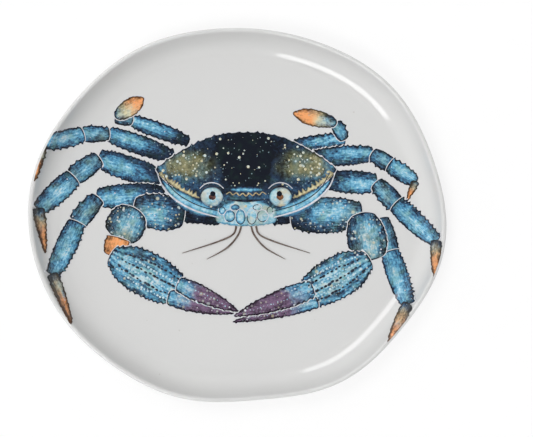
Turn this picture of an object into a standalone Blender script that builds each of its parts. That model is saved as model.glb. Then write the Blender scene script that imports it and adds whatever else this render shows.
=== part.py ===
"""An oval serving plate of glazed stoneware, with a hand-cut wavy edge, a flat well and an upturned wall.

The plate is one closed solid. It lies face up on its foot ring, with its origin under its middle, on the
surface that it stands on. +X runs along the oval's long way, +Y towards its back edge and +Z up.
Lengths are in metres.
"""

import math

import bmesh
import bpy
from mathutils import Vector

MM = 0.001

# The edge, as seen from above: a circle that swells and shrinks in lobes.
MEAN_RADIUS = 159.6 * MM
# Each lobe is how many crests it has round the edge, how far they swell, and where the first one points.
EDGE_LOBES = (
    (2, 8.1 * MM, math.radians(0)),
    (3, 0.4 * MM, math.radians(-45)),
    (5, 0.5 * MM, math.radians(-32)),
    (6, 0.9 * MM, math.radians(-3)),
    (7, 0.7 * MM, math.radians(-7)),
    (8, 0.7 * MM, math.radians(-12)),
)

# The section through the wall.
FOOT_HEIGHT = 3.0 * MM
BASE_THICKNESS = 5.2 * MM
LIP_THICKNESS = 4.0 * MM
WALL_BEND_RADIUS = 20.0 * MM
WALL_SLOPE = math.radians(65)
WALL_STRAIGHT = 3.9 * MM

# The foot ring under the well.
FOOT_OUTER_RADIUS = 110.0 * MM
FOOT_FACE_WIDTH = 6.0 * MM
FOOT_BEVEL = 1.2 * MM
FOOT_FLARE = 1.8 * MM

# How finely the round shapes are cut into flat faces.
STEPS_AROUND = 96
STEPS_BEND = 9
STEPS_LIP = 6
WELD_DISTANCE = 0.001 * MM

GLAZE_COLOUR = (0.72, 0.72, 0.71, 1.0)
GLAZE_ROUGHNESS = 0.12


def clear_scene():
    for old in list(bpy.data.objects):
        bpy.data.objects.remove(old)


def edge_scale(angle):
    """How many times the mean radius the edge is from the middle in this direction."""
    swell = sum(
        height * math.cos(count * (angle - crest))
        for count, height, crest in EDGE_LOBES
    )
    return 1.0 + swell / MEAN_RADIUS


def wall_plan_width():
    """How far the wall reaches from the flat of the well to the outermost point of the lip."""
    bend = WALL_BEND_RADIUS * math.sin(WALL_SLOPE)
    straight = WALL_STRAIGHT * math.cos(WALL_SLOPE)
    lip = LIP_THICKNESS / 2 * (1 + math.sin(WALL_SLOPE))
    return bend + straight + lip


def wall_line(steps):
    """Points up the inner side of the wall, each with its slope and how far up the wall it is, from 0 to 1."""
    well_radius = MEAN_RADIUS - wall_plan_width()
    well_height = FOOT_HEIGHT + BASE_THICKNESS
    bend_length = WALL_BEND_RADIUS * WALL_SLOPE
    length = bend_length + WALL_STRAIGHT
    line = []
    for i in range(steps + 1):
        slope = WALL_SLOPE * i / steps
        reach = well_radius + WALL_BEND_RADIUS * math.sin(slope)
        height = well_height + WALL_BEND_RADIUS * (1 - math.cos(slope))
        line.append((reach, height, slope, WALL_BEND_RADIUS * slope / length))
    reach += WALL_STRAIGHT * math.cos(WALL_SLOPE)
    height += WALL_STRAIGHT * math.sin(WALL_SLOPE)
    line.append((reach, height, WALL_SLOPE, 1.0))
    return line


def under_side(line):
    """The outer side of the wall: the inner line moved out by the wall's thickness, which thins to the lip."""
    moved = []
    for reach, height, slope, share in line:
        thickness = BASE_THICKNESS + (LIP_THICKNESS - BASE_THICKNESS) * share
        out = reach + thickness * math.sin(slope)
        down = height - thickness * math.cos(slope)
        moved.append((out, down))
    return moved


def lip_round(inner_end):
    """The half-round top of the wall, without its two ends, which the wall's sides already hold."""
    reach, height, slope, _ = inner_end
    radius = LIP_THICKNESS / 2
    middle_reach = reach + radius * math.sin(slope)
    middle_height = height - radius * math.cos(slope)
    points = []
    for i in range(1, STEPS_LIP):
        turn = slope + math.pi / 2 - math.pi * i / STEPS_LIP
        points.append(
            (
                middle_reach + radius * math.cos(turn),
                middle_height + radius * math.sin(turn),
            )
        )
    return points


def foot_ring():
    """The foot's section from its outer side to its inner side: two flared sides with bevelled corners."""
    face_outer = FOOT_OUTER_RADIUS - FOOT_BEVEL
    face_inner = face_outer - FOOT_FACE_WIDTH
    return [
        (FOOT_OUTER_RADIUS + FOOT_FLARE, FOOT_HEIGHT),
        (FOOT_OUTER_RADIUS, FOOT_BEVEL),
        (face_outer, 0.0),
        (face_inner, 0.0),
        (face_inner - FOOT_BEVEL, FOOT_BEVEL),
        (face_inner - FOOT_BEVEL - FOOT_FLARE, FOOT_HEIGHT),
    ]


def plate_section():
    """The plate's whole section, from the middle of the well, over the lip, to the middle of the underside."""
    line = wall_line(STEPS_BEND)
    well_middle = [(0.0, FOOT_HEIGHT + BASE_THICKNESS)]
    inner = [(reach, height) for reach, height, _, _ in line]
    outer = under_side(line)[::-1]
    under_middle = [(0.0, FOOT_HEIGHT)]
    return (
        well_middle + inner + lip_round(line[-1]) + outer + foot_ring() + under_middle
    )


def spin_section(section):
    """The section turned once round the Z axis, as a closed mesh."""
    mesh = bmesh.new()
    points = [mesh.verts.new((reach, 0.0, height)) for reach, height in section]
    edges = [mesh.edges.new(pair) for pair in zip(points, points[1:])]
    bmesh.ops.spin(
        mesh,
        geom=points + edges,
        cent=(0.0, 0.0, 0.0),
        axis=(0.0, 0.0, 1.0),
        angle=math.tau,
        steps=STEPS_AROUND,
        use_merge=True,
    )
    bmesh.ops.remove_doubles(mesh, verts=mesh.verts, dist=WELD_DISTANCE)
    return mesh


def cut_edge_to_lobes(mesh):
    """Moves every ring of the round plate in or out, so that it follows the wavy edge."""
    for point in mesh.verts:
        scale = edge_scale(math.atan2(point.co.y, point.co.x))
        point.co.x *= scale
        point.co.y *= scale


def centre_on_origin(mesh):
    """Puts the middle of the plate's length and width over the origin, with the foot on the ground."""
    low = Vector([min(point.co[axis] for point in mesh.verts) for axis in range(3)])
    high = Vector([max(point.co[axis] for point in mesh.verts) for axis in range(3)])
    middle = (low + high) / 2
    bmesh.ops.translate(mesh, verts=mesh.verts, vec=(-middle.x, -middle.y, -low.z))


def glaze_material():
    material = bpy.data.materials.new("white_glaze")
    material.use_nodes = True
    shader = material.node_tree.nodes["Principled BSDF"]
    shader.inputs["Base Color"].default_value = GLAZE_COLOUR
    shader.inputs["Roughness"].default_value = GLAZE_ROUGHNESS
    shader.inputs["Metallic"].default_value = 0.0
    return material


def build_plate():
    mesh = spin_section(plate_section())
    cut_edge_to_lobes(mesh)
    centre_on_origin(mesh)
    bmesh.ops.recalc_face_normals(mesh, faces=mesh.faces)
    data = bpy.data.meshes.new("plate")
    mesh.to_mesh(data)
    mesh.free()
    data.shade_smooth()
    data.set_sharp_from_angle(angle=math.radians(35))
    data.materials.append(glaze_material())
    plate = bpy.data.objects.new("plate", data)
    bpy.context.scene.collection.objects.link(plate)


clear_scene()
build_plate()
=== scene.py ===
"""Builds an oval serving plate of glazed stoneware with a crab painted across its well.

Run it as a script: it registers its panel and operators, then calls the operators in order. Lengths in
properties are metres, and lengths in the lists of painted shapes are millimetres on the plate's plan,
with +X to the right, +Y towards the plate's back edge and the origin under its middle.
"""

import math
import random
from dataclasses import dataclass, replace

import bpy
import numpy as np
from bpy.props import FloatProperty, FloatVectorProperty, IntProperty, PointerProperty
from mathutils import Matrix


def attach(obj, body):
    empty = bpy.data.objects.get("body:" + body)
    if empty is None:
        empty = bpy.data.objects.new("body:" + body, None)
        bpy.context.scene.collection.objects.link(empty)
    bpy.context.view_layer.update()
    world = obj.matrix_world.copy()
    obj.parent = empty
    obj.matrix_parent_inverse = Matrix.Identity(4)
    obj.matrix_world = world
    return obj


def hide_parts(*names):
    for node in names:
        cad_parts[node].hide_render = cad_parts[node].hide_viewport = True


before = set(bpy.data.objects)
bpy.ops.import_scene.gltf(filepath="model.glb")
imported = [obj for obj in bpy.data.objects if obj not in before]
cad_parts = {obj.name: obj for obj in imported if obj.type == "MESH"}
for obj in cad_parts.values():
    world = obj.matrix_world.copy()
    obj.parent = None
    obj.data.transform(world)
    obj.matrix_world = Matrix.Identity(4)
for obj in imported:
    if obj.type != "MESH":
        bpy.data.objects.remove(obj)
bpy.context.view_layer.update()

bl_info = {
    "name": "Crab Serving Plate",
    "version": (1, 0, 0),
    "blender": (4, 5, 0),
    "location": "3D View > Sidebar > Crab Plate",
    "description": "Builds a glazed oval serving plate with a painted crab, and a pale studio for it",
    "category": "Object",
}

MM = 0.001
BODY = "root"
PLATE_NODE = "plate"

# The plate's edge: how many crests each lobe has, how far it swells, and where its first crest points.
EDGE_LOBES = (
    (2, 8.1 * MM, math.radians(0)),
    (3, 0.4 * MM, math.radians(-45)),
    (5, 0.5 * MM, math.radians(-32)),
    (6, 0.9 * MM, math.radians(-3)),
    (7, 0.7 * MM, math.radians(-7)),
    (8, 0.7 * MM, math.radians(-12)),
)


def tint(red, green, blue):
    """A colour given in everyday 0 to 255 steps, as the linear values that shaders use."""
    steps = np.array((red, green, blue)) / 255
    linear = np.where(steps <= 0.04045, steps / 12.92, ((steps + 0.055) / 1.055) ** 2.4)
    return tuple(float(value) for value in linear)


def length(name, description, millimetres):
    return FloatProperty(
        name=name, description=description, default=millimetres * MM, min=0.0, unit="LENGTH"
    )


def colour(name, description, default):
    return FloatVectorProperty(
        name=name, description=description, default=default, subtype="COLOR", size=3, min=0.0, max=1.0
    )


def share(name, description, default):
    return FloatProperty(name=name, description=description, default=default, min=0.0, max=1.0)


def brightness(name, description, default):
    return FloatProperty(name=name, description=description, default=default, min=0.0)


# ---------------------------------------------------------------------------------------------------------
# Sizes and colours that a user would change


class PlateSizes(bpy.types.PropertyGroup):
    mean_radius: length("Mean radius", "Middle to edge, before the lobes", 159.6)
    foot_height: length("Foot height", "How far the foot lifts the base", 3.0)
    base_thickness: length("Base thickness", "Thickness under the well", 5.2)
    lip_thickness: length("Lip thickness", "Thickness at the top of the wall", 4.0)
    bend_radius: length("Wall bend", "Radius of the bend from well to wall", 20.0)
    wall_slope: FloatProperty(
        name="Wall slope",
        description="How steep the wall is at its top",
        default=math.radians(65),
        unit="ROTATION",
    )
    wall_straight: length("Wall straight", "Straight stretch above the bend", 3.9)
    foot_radius: length("Foot radius", "Middle to the foot's outer side", 110.0)
    foot_face: length("Foot face", "Width of the foot's flat face", 6.0)
    foot_bevel: length("Foot bevel", "Bevel along the foot's face", 1.2)
    foot_flare: length("Foot flare", "How far the foot spreads at its top", 1.8)
    steps_around: IntProperty(
        name="Steps around", description="How many facets go round the plate", default=288, min=32
    )


class GlazeLooks(bpy.types.PropertyGroup):
    glaze: colour("Glaze", "Colour of the glaze in the well", tint(213, 213, 212))
    speck: colour("Speck", "Colour of the iron specks in the glaze", tint(176, 172, 165))
    clay: colour("Clay", "Bare clay on the foot's face", tint(196, 182, 162))
    gloss: share("Gloss roughness", "Roughness of the fired glaze", 0.06)


class PaintColours(bpy.types.PropertyGroup):
    ink: colour("Ink", "Darkest outline", tint(14, 20, 32))
    navy: colour("Navy", "Shaded side of the limbs", tint(40, 58, 82))
    deep: colour("Deep blue", "Between the navy and the mid blue", tint(62, 104, 138))
    mid: colour("Mid blue", "The limbs' own blue", tint(84, 152, 188))
    sky: colour("Sky blue", "Lit streaks", tint(138, 196, 220))
    pale: colour("Pale blue", "Brightest paint", tint(200, 220, 226))
    teal: colour("Teal", "Where green creeps into the blue", tint(102, 150, 154))
    olive: colour("Olive", "The shell's green", tint(104, 106, 74))
    orange: colour("Orange", "Tips and knuckle", tint(218, 150, 98))
    violet: colour("Violet", "Claw fingers", tint(114, 92, 118))
    cream: colour("Cream", "Margins and spots", tint(200, 190, 152))
    gold: colour("Gold", "Teeth between the eyes", tint(158, 138, 96))
    chalk: colour("Chalk", "Thin white lines", tint(216, 218, 226))
    brown: colour("Brown", "Feelers", tint(84, 68, 60))


class PrintSizes(bpy.types.PropertyGroup):
    first_layer: length("First layer", "How far the lowest paint stands proud", 0.06)
    layer_step: length("Layer step", "How much each next layer adds", 0.008)
    sunk: length("Sunk", "How deep the paint's underside sits in the glaze", 0.25)
    grid_step: length("Grid step", "Distance between points in painted shapes", 0.75)
    gap: length("Gap", "Unpainted gap that is left round each shape", 0.6)
    stroke_lift: length("Stroke lift", "How far fine lines stand proud", 0.72)
    stroke_step: length("Stroke step", "Distance between points along a line", 0.7)


class StageSizes(bpy.types.PropertyGroup):
    camera_height: length("Camera height", "Camera above the floor", 1300.0)
    camera_right: length("Camera right", "Camera to the right of the middle", 23.6)
    camera_forward: FloatProperty(
        name="Camera forward", description="Camera forward of the middle", default=-2.8 * MM, unit="LENGTH"
    )
    view_width: length("View width", "Width seen at the view height", 426.4)
    floor_width: length("Floor width", "Width of the floor", 12000.0)
    around: brightness("Around", "Brightness of the studio's walls", 0.715)
    overhead: brightness("Overhead", "Brightness of the studio's ceiling", 0.2)
    side_light: brightness("Side light", "How much brighter the walls on the left are", 0.35)
    front_lamp: brightness("Front lamp", "Brightness of the lamp at the front left", 6.3)
    back_lamp: brightness("Back lamp", "Brightness of the lamp at the back left", 4.7)
    floor_glow: brightness("Floor glow", "Light that the floor gives off itself", 0.735)


# ---------------------------------------------------------------------------------------------------------
# The plate's form


# How far the foot's two roots are rounded off, along the base.
SOFT_CORNER = 0.25 * MM


class PlateForm:
    """The plate as sums: its section, its edge, and the place and slope of its upper side."""

    def __init__(self, sizes):
        self.sizes = sizes
        self.lip_radius = sizes.lip_thickness / 2
        bend = sizes.bend_radius * math.sin(sizes.wall_slope)
        straight = sizes.wall_straight * math.cos(sizes.wall_slope)
        lip = self.lip_radius * (1 + math.sin(sizes.wall_slope))
        self.well_radius = sizes.mean_radius - bend - straight - lip
        self.floor_height = sizes.foot_height + sizes.base_thickness
        self.bend_end = self.well_radius + bend
        self.bend_top = self.floor_height + sizes.bend_radius * (1 - math.cos(sizes.wall_slope))
        self.wall_end = self.bend_end + straight
        self.wall_top = self.bend_top + sizes.wall_straight * math.sin(sizes.wall_slope)
        self.crest_reach = self.wall_end + self.lip_radius * math.sin(sizes.wall_slope)
        self.lip_centre = self.wall_top - self.lip_radius * math.cos(sizes.wall_slope)
        self.middle = self.edge_middle()

    def edge_scale(self, angle):
        swell = sum(height * np.cos(count * (angle - crest)) for count, height, crest in EDGE_LOBES)
        return 1 + swell / self.sizes.mean_radius

    def edge_middle(self):
        """How far the plate is moved, so that the middle of its box is on the origin."""
        angle = np.linspace(0, math.tau, 96, endpoint=False)
        reach = self.sizes.mean_radius * self.edge_scale(angle)
        across, along = reach * np.cos(angle), reach * np.sin(angle)
        return -np.array((across.min() + across.max(), along.min() + along.max())) / 2

    def wall_line(self, steps):
        """Points up the wall's inner side: reach, height, slope and the share of the way up."""
        sizes = self.sizes
        bend_length = sizes.bend_radius * sizes.wall_slope
        whole = bend_length + sizes.wall_straight
        line = []
        for slope in np.linspace(0, sizes.wall_slope, steps + 1):
            reach = self.well_radius + sizes.bend_radius * math.sin(slope)
            height = self.floor_height + sizes.bend_radius * (1 - math.cos(slope))
            line.append((reach, height, slope, sizes.bend_radius * slope / whole))
        for part in np.linspace(0, 1, 6)[1:]:
            run = sizes.wall_straight * part
            reach = self.bend_end + run * math.cos(sizes.wall_slope)
            height = self.bend_top + run * math.sin(sizes.wall_slope)
            line.append((reach, height, sizes.wall_slope, (bend_length + run) / whole))
        return line

    def section(self):
        """The whole section, from the middle of the well, over the lip, to the middle of the underside."""
        sizes = self.sizes
        well = [(reach, self.floor_height) for reach in np.linspace(0, self.well_radius, 26)[:-1]]
        wall = self.wall_line(28)
        inner = [(reach, height) for reach, height, _, _ in wall]
        outer = []
        for reach, height, slope, part in wall[::-1]:
            thick = sizes.base_thickness + (sizes.lip_thickness - sizes.base_thickness) * part
            outer.append((reach + thick * math.sin(slope), height - thick * math.cos(slope)))
        turns = sizes.wall_slope + math.pi / 2 - np.linspace(0, math.pi, 15)[1:-1]
        lip = [
            (
                self.crest_reach + self.lip_radius * math.cos(turn),
                self.lip_centre + self.lip_radius * math.sin(turn),
            )
            for turn in turns
        ]
        face_out = sizes.foot_radius - sizes.foot_bevel
        face_in = face_out - sizes.foot_face
        root_out = (sizes.foot_radius + sizes.foot_flare, sizes.foot_height)
        root_in = (face_in - sizes.foot_bevel - sizes.foot_flare, sizes.foot_height)
        foot = [
            *soft_corner(root_out, SOFT_CORNER, SOFT_CORNER / 4),
            (sizes.foot_radius, sizes.foot_bevel),
            (face_out, 0.0),
            ((face_out + face_in) / 2, 0.0),
            (face_in, 0.0),
            (face_in - sizes.foot_bevel, sizes.foot_bevel),
            *soft_corner(root_in, -SOFT_CORNER, SOFT_CORNER / 4),
        ]
        under_reach = np.linspace(foot[-1][0], 0, 16)[1:]
        under = [(reach, sizes.foot_height) for reach in under_reach]
        return well + inner + lip + outer + foot + under

    def height(self, across, along):
        """How high the upper side is at these places."""
        east, north = across - self.middle[0], along - self.middle[1]
        reach = np.hypot(east, north) / self.edge_scale(np.arctan2(north, east))
        radius = self.sizes.bend_radius
        into_bend = np.clip(reach - self.well_radius, 0, self.bend_end - self.well_radius)
        height = self.floor_height + radius - np.sqrt(radius**2 - into_bend**2)
        up_wall = np.clip(reach - self.bend_end, 0, self.wall_end - self.bend_end)
        height = height + up_wall * math.tan(self.sizes.wall_slope)
        off_crest = np.clip(reach - self.crest_reach, -self.lip_radius, self.lip_radius)
        lip = self.lip_centre + np.sqrt(self.lip_radius**2 - off_crest**2)
        return np.where(reach > self.wall_end, lip, height)

    def seat(self, plan):
        """Where plan points lie on the upper side, and which way the glaze faces there.
        Points past the lip's crest are brought back to it."""
        offset = plan - self.middle
        reach = np.hypot(offset[:, 0], offset[:, 1])
        crest = self.crest_reach * self.edge_scale(np.arctan2(offset[:, 1], offset[:, 0]))
        offset = offset * np.minimum(1, crest / np.maximum(reach, MM))[:, None]
        across, along = (offset + self.middle).T
        nudge = 0.05 * MM
        rise_x = self.height(across + nudge, along) - self.height(across - nudge, along)
        rise_y = self.height(across, along + nudge) - self.height(across, along - nudge)
        facing = np.stack((-rise_x, -rise_y, np.full_like(rise_x, 2 * nudge)), axis=1)
        facing /= np.linalg.norm(facing, axis=1)[:, None]
        return np.stack((across, along, self.height(across, along)), axis=1), facing


def soft_corner(corner, run, drop):
    """A corner of the foot's section as two close points, so that it catches light as a worn edge."""
    reach, height = corner
    return [(reach + run, height), (reach, height - drop)]


# ---------------------------------------------------------------------------------------------------------
# The painted crab, in millimetres. Limbs share kinds of segment, and the body is mirrored at the midline.


@dataclass
class Patch:
    """One painted patch, drawn from its root to its tip."""

    root: tuple
    tip: tuple
    left: tuple  # half widths at equal steps, on the left of the way from root to tip
    right: tuple = ()  # the same on the right, where it isn't a mirror of the left
    bow: float = 0.0  # how far the way bends to its left
    tone: tuple = (0.5,)  # from 0, ink, to 1, pale, at equal steps
    lean: float = 0.0  # which side the light falls on: 1 is the left edge, -1 the right
    shade: float = 0.6  # how much darker the far side is
    olive: tuple = (0.25,)
    warm: tuple = (0.0,)
    violet: tuple = (0.0,)
    cream: tuple = (0.0,)
    spikes: tuple = (0.0, 0.0)  # how tall the spikes on the left and right edges are
    pitch: float = 6.5  # distance between spikes
    ends: tuple = (1.6, 1.6)  # how far from each end the outline rounds off
    specks: float = 0.4  # how thickly pale specks are scattered
    base: bool = False  # whether it starts again at its group's lowest layer
    bands: tuple = (0.0, 0.0)  # how strongly light and dark bands run along it, and how many there are
    bare: bool = True  # whether an unpainted gap is left round it


def oval(centre, radii, **looks):
    """A round patch."""
    x, y = centre
    wide, tall = radii
    widths = tuple(tall for _ in range(3))
    return Patch((x - wide, y), (x + wide, y), widths, ends=(wide, wide), **looks)


# The crab's midline, and how far a segment reaches past its joint into the one before it.
MIDDLE = 7.0
JOINT_LAP = 1.0


def mirror_point(point):
    return (2 * MIDDLE - point[0], point[1])


def mirror_patch(patch):
    """The same patch on the other side of the midline."""
    return replace(
        patch,
        root=mirror_point(patch.root),
        tip=mirror_point(patch.tip),
        left=patch.right or patch.left,
        right=patch.left,
        bow=-patch.bow,
        lean=-patch.lean,
        spikes=patch.spikes[::-1],
    )


def both_sides(patches):
    return tuple(patches) + tuple(mirror_patch(patch) for patch in patches)


# Each kind of segment: its half widths from root to tip as shares of the limb's girth, and its paint.
SEGMENTS = {
    "thigh": dict(
        left=(0.55, 0.85, 0.98, 1.0, 0.94, 0.74), tone=(0.08, 0.2, 0.5, 0.72, 0.76, 0.6),
        shade=0.8, spikes=(1.3, 1.1), pitch=4.6,
    ),
    "knee": dict(left=(0.62, 0.82, 0.88, 0.8), tone=(0.4, 0.66, 0.6), olive=(0.5,), spikes=(0.4, 1.4)),
    "shank": dict(
        left=(0.74, 0.9, 0.9, 0.8, 0.54), tone=(0.5, 0.76, 0.76, 0.56), olive=(0.35,), spikes=(1.6, 0.5),
        pitch=4.4,
    ),
    "tip": dict(
        left=(0.4, 0.42, 0.34, 0.22, 0.07), tone=(0.14, 0.5, 0.66, 0.56, 0.3), warm=(0, 0.15, 0.7, 0.8),
        cream=(0, 0.5, 0.2, 0), olive=(0,), spikes=(0.6, 0), specks=0.1, bare=False,
    ),
    "paddle": dict(
        left=(0.5, 0.95, 1.1, 0.95, 0.2), tone=(0.5, 0.66, 0.84, 0.84, 0.6), warm=(0, 0, 0.4, 0.9),
        cream=(0, 0.4, 0.5, 0), olive=(0,), ends=(3, 2), spikes=(0.4, 0.4),
    ),
    "arm": dict(
        left=(0.6, 0.9, 1.0, 0.98, 0.86, 0.6), tone=(0.1, 0.3, 0.68, 0.82, 0.74, 0.5), shade=0.8,
        olive=(0.2, 0.55), spikes=(0.9, 1.5), pitch=5, specks=1,
    ),
    "wrist": dict(
        left=(0.6, 0.96, 1.1, 1.04, 0.74), tone=(0.3, 0.72, 0.88, 0.84, 0.7), shade=0.8, olive=(0.35, 0.7),
        spikes=(0.6, 0.7), pitch=5, ends=(4, 4), specks=1,
    ),
    "knuckle": dict(
        left=(0.62, 0.7, 0.66, 0.5), tone=(0.7, 0.82, 0.78), warm=(0.8, 1, 0.85), cream=(0, 0.2, 0.4),
        olive=(0,), spikes=(0.7, 0.7), specks=0,
    ),
    "palm": dict(
        left=(0.36, 0.82, 1.0, 1.02, 0.94, 0.74), tone=(0.5, 0.76, 0.82, 0.82, 0.76, 0.64), shade=0.6,
        olive=(0.4, 0.45, 0.3), spikes=(1.8, 1.6), pitch=4.2, specks=0.9, bands=(0.24, 5),
    ),
    "finger": dict(
        left=(0.8, 1.0, 0.88, 0.6, 0.1), tone=(0.74, 0.72, 0.6, 0.54, 0.34), shade=0.5,
        violet=(0, 0.2, 0.8, 1, 1), olive=(0.1, 0.3, 0), spikes=(0.7, 0.7), specks=0.8, bands=(0.1, 3),
    ),
}


@dataclass
class Limb:
    """A jointed limb, from the shell outwards: the kind of each segment, and the joints between them."""

    kinds: tuple
    joints: tuple
    girth: float
    lean: float = -0.15

    def patches(self):
        """One patch for each segment, each a little longer than the way between its joints."""
        made = []
        for index, kind in enumerate(self.kinds):
            root, tip = (np.array(self.joints[index + k], float) for k in (0, 1))
            lap = (tip - root) / np.linalg.norm(tip - root) * JOINT_LAP
            looks = dict(SEGMENTS[kind])
            widths = tuple(self.girth * part for part in looks.pop("left"))
            made.append(Patch(tuple(root - lap), tuple(tip + lap), widths, lean=self.lean, **looks))
        return tuple(made)


WALKING = ("thigh", "knee", "shank", "tip")
SWIMMING = ("thigh", "knee", "paddle")

LEGS_LEFT = (
    Limb(SWIMMING, ((-40, 60), (-86, 77), (-99, 80), (-77, 95)), 6.4),
    Limb(WALKING, ((-53, 48), (-105, 66), (-126, 66), (-156, 57), (-163, 28)), 7.8),
    Limb(WALKING, ((-58, 28), (-113, 46), (-134, 31), (-161, 5), (-156, -30)), 9.8, 0.1),
    Limb(WALKING, ((-60, 18), (-114, 14), (-131, -6), (-150, -48), (-134, -87)), 9.6, 0.1),
)
LEGS_RIGHT = (
    Limb(SWIMMING, ((42, 56), (87, 62), (80, 75), (46, 83)), 6.2, 0.15),
    Limb(WALKING, ((56, 46), (110, 50), (124, 41), (145, 27), (138, 12)), 7.8, 0.2),
    Limb(WALKING, ((70, 28), (113, 26), (129, 9), (161, -21), (159, -54)), 9.2),
    Limb(WALKING[1:], ((117, -3), (124, -30), (138, -72), (120, -107)), 9.6),
)
ARM_LEFT = Limb(("arm", "wrist", "knuckle"), ((-44, 0), (-84, 5), (-97, -19), (-101, -33)), 14.5, 0.2)
ARM_RIGHT = Limb(("arm", "wrist"), ((44, -1), (101, 1), (109, -36)), 14.5, 0.1)
PALMS = (
    Limb(("palm",), ((-103, -33), (-50, -61)), 17.5, -0.1),
    Limb(("palm",), ((107, -36), (58, -64)), 16.5, 0.0),
)
FINGERS_LEFT = (
    Limb(("finger",), ((-56, -67), (-4, -80)), 7.4, 0.0),
    Limb(("finger",), ((-48, -56), (0, -78)), 7.4, 0.0),
)
FINGERS_RIGHT = (
    Limb(("finger",), ((65, -71), (-3, -87)), 5.8, 0.0),
    Limb(("finger",), ((61, -60), (-2, -82)), 8.6, 0.0),
)


def limbs_patches(*limbs):
    return tuple(patch for limb in limbs for patch in limb.patches())


SHELL = Patch(
    (MIDDLE - 73.5, 37), (MIDDLE + 73.5, 37),
    (1, 11.6, 20, 26.4, 29.6, 30.4, 29.6, 26.4, 20, 11.6, 1),
    (1, 15, 26, 34, 38.2, 39.4, 38.2, 34, 26, 15, 1),
    tone=(0.1,), shade=0.0, olive=(0,), spikes=(1.3, 0), pitch=7, specks=0.16,
)


@dataclass
class Wash:
    """A soft oval brushful that moves one of the shell's paint values towards an amount."""

    value: str
    centre: tuple
    radii: tuple
    amount: float
    strength: float = 1.0


def side_washes(side):
    """The washes of one side of the shell, in the order that they are laid."""
    return (
        Wash("olive", (MIDDLE + side * 45, 41), (25, 14), 1.0),
        Wash("tone", (MIDDLE + side * 48, 40), (22, 12), 0.56),
        Wash("cream", (MIDDLE + side * 50, 40), (17, 9), 0.1),
        Wash("specks", (MIDDLE + side * 48, 40), (18, 10), 1.0),
        Wash("tone", (MIDDLE + side * 42, 24), (22, 5), 0.2, 0.85),
        Wash("olive", (MIDDLE + side * 42, 22), (22, 4), 0.0, 0.8),
    )


SHELL_WASHES = (
    *side_washes(-1),
    *side_washes(1),
    Wash("tone", (MIDDLE, 46), (27, 22), -0.1, 1.0),
    Wash("olive", (MIDDLE, 44), (18, 18), 0.0, 0.9),
    Wash("tone", (MIDDLE - 24, 35), (4, 10), 0.26, 0.7),
    Wash("tone", (MIDDLE + 24, 35), (4, 10), 0.26, 0.7),
    Wash("tone", (MIDDLE, 11), (34, 8), 0.26),
    Wash("olive", (MIDDLE, 11), (34, 8), 0.0),
)

# A pale flank under the shell's edge with a row of teeth above it, on both sides, and a bar at the front.
MARGINS = both_sides(
    (
        Patch((-61, 28), (-13, 1), (0.4, 3.4, 5.8, 6, 4.8, 1), bow=-6, tone=(0.74, 0.88, 0.8, 0.84, 0.76),
              olive=(0,), shade=0.5, lean=0.1, specks=0, bands=(0.1, 3), base=True),
        Patch((-64, 34.5), (-31, 14), (1.4, 1.2, 1, 0.8), bow=-2, tone=(0.56, 0.66, 0.56), cream=(0.8,),
              olive=(0,), shade=0.3, spikes=(2.8, 0.2), pitch=3.6, specks=0.4, bare=False, base=True),
    )
) + (
    Patch((MIDDLE - 13, 20.6), (MIDDLE + 13, 20.6), (1, 2.2, 2.2, 1), tone=(0.5, 0.74, 0.5), olive=(0,),
          specks=0, bare=False, base=True),
)

# What shows of the body below the shell, darker than the rest.
UNDERSIDE = both_sides(
    (
        Patch((-50, 2.6), (-14, -5.4), (6, 8, 6, 3), (6, 6.4, 4.4, 3), tone=(0.02, 0.06), olive=(0,),
              spikes=(0, 1), pitch=4, specks=0.3, base=True),
    )
)

# The mouth's plates on the left of the midline: the middle and radii of each, and its tone.
MOUTH_PLATES = (
    ((MIDDLE - 4.6, -1.4), (3.8, 6), 0.98),
    ((MIDDLE - 13.4, -0.8), (4.2, 4.6), 0.86),
    ((MIDDLE - 9, 6.2), (3.4, 2.2), 0.68),
    ((MIDDLE - 19.6, 3.6), (2.6, 3), 0.9),
)
EYE = (MIDDLE - 28, 15)

FACE = (
    Patch((MIDDLE - 25, -1), (MIDDLE + 25, -1),
          (5, 9.6, 12.6, 13, 12.6, 9.6, 5), (4.4, 6.6, 7.6, 8, 7.6, 6.6, 4.4),
          tone=(0.9, 0.86, 0.98, 0.9, 0.98, 0.86, 0.9), olive=(0.5,), cream=(0.06,), shade=0.05, specks=1,
          spikes=(0.8, 0.5), pitch=5, base=True),
    *both_sides(
        oval(centre, radii, tone=(tone,), olive=(0.4,), cream=(0.04,), shade=0.15, specks=0.6, bare=False)
        for centre, radii, tone in MOUTH_PLATES
    ),
    *both_sides(
        (
            oval(EYE, (9, 8), tone=(1.06, 1, 1.06), violet=(0.08,), cream=(0.18,), olive=(0.2,),
                 shade=0.2, lean=0.3, specks=0.9),
        )
    ),
)
PUPILS = both_sides(
    (
        oval((EYE[0] + 0.4, EYE[1] - 0.2), (2.9, 2.5), tone=(0.32,), warm=(0.34,), violet=(1,),
             olive=(0,), shade=0.2, specks=0, bare=False),
        oval((EYE[0] + 0.9, EYE[1] + 2.4), (2.2, 2.1), tone=(-0.1,), olive=(0,), specks=0, bare=False),
    )
)


@dataclass
class Stroke:
    """One brush line through a few points, with its half width in the middle and at its two ends."""

    points: tuple
    half_width: float
    start: float = 0.3
    end: float = 0.3


def arc(centre, radii, start, sweep):
    """Points along a part of an oval, from a start angle and through a sweep, in degrees."""
    x, y = centre
    wide, tall = radii
    count = max(4, round(abs(sweep) / 30))
    angles = [math.radians(start + sweep * k / count) for k in range(count + 1)]
    return tuple((x + wide * math.cos(angle), y + tall * math.sin(angle)) for angle in angles)


def mirrored_strokes(strokes):
    """Strokes on the left of the midline, with the same ones on its right."""
    strokes = tuple(strokes)
    return strokes + tuple(
        replace(stroke, points=tuple(mirror_point(point) for point in stroke.points)) for stroke in strokes
    )


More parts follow.
